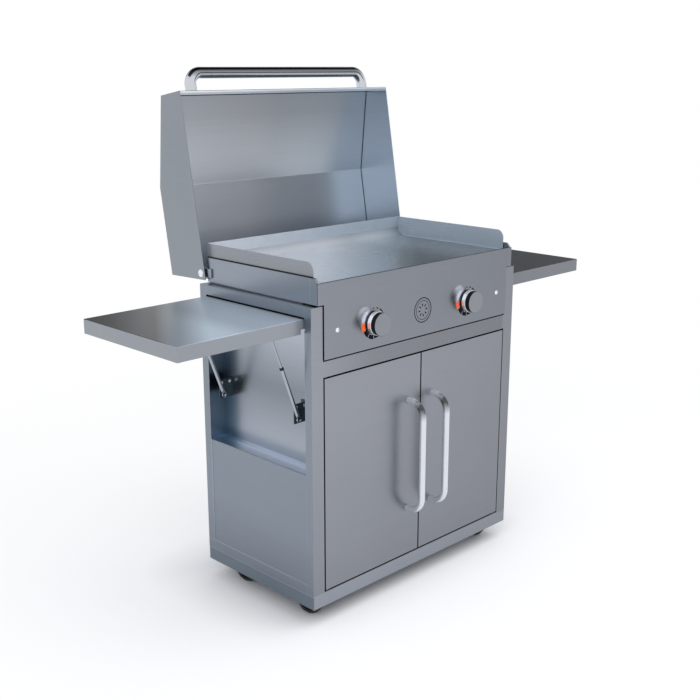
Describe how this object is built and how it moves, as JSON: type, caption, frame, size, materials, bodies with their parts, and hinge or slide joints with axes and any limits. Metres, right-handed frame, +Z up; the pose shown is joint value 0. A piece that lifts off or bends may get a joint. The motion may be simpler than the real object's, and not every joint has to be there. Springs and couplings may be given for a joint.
{
  "type": "outdoor gas griddle station",
  "caption": "Free-standing gas griddle with a hinged lid on a two-door steel cart, with fold-down side shelves on gas struts and swivel casters",
  "frame": {"origin": "middle of the whole part's box on the floor, with the lid open and the shelves up", "axes": "+Z up, +X to the right seen from the front, +Y towards the back; the front with the doors and knobs faces -Y"},
  "size_m": [1.504, 0.6556, 1.3682],
  "materials": {
    "brushed_steel": "brushed stainless steel",
    "light_steel": "satin stainless steel",
    "inner_steel": "plain mill-finish steel",
    "chrome": "polished stainless tube",
    "black_coat": "black powder coat",
    "black_rubber": "black rubber tread",
    "magnet_black": "black plastic catch",
    "bracket_dark": "dark coated steel",
    "brass": "machined brass",
    "ceramic": "white ceramic rod"
  },
  "bodies": {
    "cart": {"base_skirt": "brushed_steel", "cabinet_floor": "inner_steel", "front_frame": "brushed_steel", "back_panel": "brushed_steel", "left_side_panel": "brushed_steel", "right_side_panel": "brushed_steel", "left_recess_liner": "brushed_steel", "right_recess_liner": "brushed_steel", "cart_top_frame": "brushed_steel", "shelf_hinge_pins": "inner_steel", "strut_brackets": "bracket_dark", "caster_plates": "inner_steel", "door_hinge_pins": "inner_steel", "door_magnets": "magnet_black", "control_panel": "light_steel", "panel_screws": "chrome", "firebox": "inner_steel", "griddle_body": "brushed_steel", "griddle_plate": "light_steel", "splash_guard": "light_steel", "drip_gutter": "inner_steel", "grease_cup": "light_steel", "burners": "inner_steel", "gas_manifold": "inner_steel", "gas_valves": "brass", "igniters": "ceramic", "lid_hinge_pins": "chrome"},
    "left_door": {"left_door": "brushed_steel", "left_door_handle": "chrome"},
    "right_door": {"right_door": "brushed_steel", "right_door_handle": "chrome"},
    "left_shelf": {"left_shelf": "brushed_steel"},
    "right_shelf": {"right_shelf": "brushed_steel"},
    "lid": {"lid_shell": "brushed_steel", "lid_left_cap": "brushed_steel", "lid_right_cap": "brushed_steel", "lid_handle": "chrome"},
    "left_front_strut_tube": {"left_front_strut_tube": "light_steel"},
    "left_front_strut_rod": {"left_front_strut_rod": "chrome"},
    "left_rear_strut_tube": {"left_rear_strut_tube": "light_steel"},
    "left_rear_strut_rod": {"left_rear_strut_rod": "chrome"},
    "left_valve_plunger": {"left_valve_plunger": "brass"},
    "left_knob": {"left_knob": "chrome", "left_valve_stem": "inner_steel"},
    "right_front_strut_tube": {"right_front_strut_tube": "light_steel"},
    "right_front_strut_rod": {"right_front_strut_rod": "chrome"},
    "right_rear_strut_tube": {"right_rear_strut_tube": "light_steel"},
    "right_rear_strut_rod": {"right_rear_strut_rod": "chrome"},
    "right_valve_plunger": {"right_valve_plunger": "brass"},
    "right_knob": {"right_knob": "chrome", "right_valve_stem": "inner_steel"},
    "front_left_caster": {"front_left_caster_fork": "black_coat"},
    "front_left_wheel": {"front_left_caster_wheel": "black_rubber"},
    "front_right_caster": {"front_right_caster_fork": "black_coat"},
    "front_right_wheel": {"front_right_caster_wheel": "black_rubber"},
    "rear_left_caster": {"rear_left_caster_fork": "black_coat"},
    "rear_left_wheel": {"rear_left_caster_wheel": "black_rubber"},
    "rear_right_caster": {"rear_right_caster_fork": "black_coat"},
    "rear_right_wheel": {"rear_right_caster_wheel": "black_rubber"}
  },
  "joints": [
    {"name": "lid_hinge", "type": "hinge", "parent": "cart", "child": "lid", "pos_m": [0, 0.16224, 0.8504], "axis": [1, 0, 0], "range_deg": [0, 99.5]},
    {"name": "left_door_hinge", "type": "hinge", "parent": "cart", "child": "left_door", "pos_m": [-0.339, -0.26076, 0.092], "axis": [0, 0, -1], "range_deg": [0, 105]},
    {"name": "right_door_hinge", "type": "hinge", "parent": "cart", "child": "right_door", "pos_m": [0.339, -0.26076, 0.092], "axis": [0, 0, 1], "range_deg": [0, 105]},
    {"name": "left_shelf_fold", "type": "hinge", "parent": "cart", "child": "left_shelf", "pos_m": [-0.38, -0.05626, 0.789], "axis": [0, -1, 0], "range_deg": [0, 90]},
    {"name": "right_shelf_fold", "type": "hinge", "parent": "cart", "child": "right_shelf", "pos_m": [0.38, -0.05626, 0.789], "axis": [0, 1, 0], "range_deg": [0, 90]},
    {"name": "left_front_strut_swing", "type": "hinge", "parent": "cart", "child": "left_front_strut_tube", "pos_m": [-0.373, -0.20226, 0.535], "axis": [0, 1, 0], "range_deg": [0, 22.5]},
    {"name": "left_front_strut_slide", "type": "slide", "parent": "left_front_strut_tube", "child": "left_front_strut_rod", "axis": [0.3558, 0, -0.9346], "range_m": [0, 0.0925]},
    {"name": "left_rear_strut_swing", "type": "hinge", "parent": "cart", "child": "left_rear_strut_tube", "pos_m": [-0.373, 0.08974, 0.535], "axis": [0, 1, 0], "range_deg": [0, 22.5]},
    {"name": "left_rear_strut_slide", "type": "slide", "parent": "left_rear_strut_tube", "child": "left_rear_strut_rod", "axis": [0.3558, 0, -0.9346], "range_m": [0, 0.0925]},
    {"name": "right_front_strut_swing", "type": "hinge", "parent": "cart", "child": "right_front_strut_tube", "pos_m": [0.373, -0.20226, 0.535], "axis": [0, -1, 0], "range_deg": [0, 22.5]},
    {"name": "right_front_strut_slide", "type": "slide", "parent": "right_front_strut_tube", "child": "right_front_strut_rod", "axis": [-0.3558, 0, -0.9346], "range_m": [0, 0.0925]},
    {"name": "right_rear_strut_swing", "type": "hinge", "parent": "cart", "child": "right_rear_strut_tube", "pos_m": [0.373, 0.08974, 0.535], "axis": [0, -1, 0], "range_deg": [0, 22.5]},
    {"name": "right_rear_strut_slide", "type": "slide", "parent": "right_rear_strut_tube", "child": "right_rear_strut_rod", "axis": [-0.3558, 0, -0.9346], "range_m": [0, 0.0925]},
    {"name": "left_knob_push", "type": "slide", "parent": "cart", "child": "left_valve_plunger", "axis": [0, 1, 0], "range_m": [0, 0.004], "stiffness_N_per_m": 500},
    {"name": "left_knob_turn", "type": "hinge", "parent": "left_valve_plunger", "child": "left_knob", "pos_m": [-0.181, -0.26776, 0.7585], "axis": [0, -1, 0], "range_deg": [0, 210]},
    {"name": "right_knob_push", "type": "slide", "parent": "cart", "child": "right_valve_plunger", "axis": [0, 1, 0], "range_m": [0, 0.004], "stiffness_N_per_m": 500},
    {"name": "right_knob_turn", "type": "hinge", "parent": "right_valve_plunger", "child": "right_knob", "pos_m": [0.181, -0.26776, 0.7585], "axis": [0, -1, 0], "range_deg": [0, 210]},
    {"name": "front_left_caster_swivel", "type": "hinge", "parent": "cart", "child": "front_left_caster", "pos_m": [-0.336, -0.18226, 0.071], "axis": [0, 0, 1], "continuous": true},
    {"name": "front_left_wheel_spin", "type": "hinge", "parent": "front_left_caster", "child": "front_left_wheel", "pos_m": [-0.33238, -0.19578, 0.035], "axis": [0.9659, 0.2588, 0], "continuous": true},
    {"name": "front_right_caster_swivel", "type": "hinge", "parent": "cart", "child": "front_right_caster", "pos_m": [0.336, -0.18226, 0.071], "axis": [0, 0, 1], "continuous": true},
    {"name": "front_right_wheel_spin", "type": "hinge", "parent": "front_right_caster", "child": "front_right_wheel", "pos_m": [0.33962, -0.19578, 0.035], "axis": [0.9659, 0.2588, 0], "continuous": true},
    {"name": "rear_left_caster_swivel", "type": "hinge", "parent": "cart", "child": "rear_left_caster", "pos_m": [-0.336, 0.06974, 0.071], "axis": [0, 0, 1], "continuous": true},
    {"name": "rear_left_wheel_spin", "type": "hinge", "parent": "rear_left_caster", "child": "rear_left_wheel", "pos_m": [-0.33238, 0.05622, 0.035], "axis": [0.9659, 0.2588, 0], "continuous": true},
    {"name": "rear_right_caster_swivel", "type": "hinge", "parent": "cart", "child": "rear_right_caster", "pos_m": [0.336, 0.06974, 0.071], "axis": [0, 0, 1], "continuous": true},
    {"name": "rear_right_wheel_spin", "type": "hinge", "parent": "rear_right_caster", "child": "rear_right_wheel", "pos_m": [0.33962, 0.05622, 0.035], "axis": [0.9659, 0.2588, 0], "continuous": true}
  ],
  "couplings": [
    {"joint": "left_front_strut_swing", "follows": "left_shelf_fold", "ratio": 0.24666},
    {"joint": "left_front_strut_slide", "follows": "left_shelf_fold", "m_per_rad": 0.058227},
    {"joint": "left_rear_strut_swing", "follows": "left_shelf_fold", "ratio": 0.24666},
    {"joint": "left_rear_strut_slide", "follows": "left_shelf_fold", "m_per_rad": 0.058227},
    {"joint": "right_front_strut_swing", "follows": "right_shelf_fold", "ratio": 0.24666},
    {"joint": "right_front_strut_slide", "follows": "right_shelf_fold", "m_per_rad": 0.058227},
    {"joint": "right_rear_strut_swing", "follows": "right_shelf_fold", "ratio": 0.24666},
    {"joint": "right_rear_strut_slide", "follows": "right_shelf_fold", "m_per_rad": 0.058227}
  ]
}
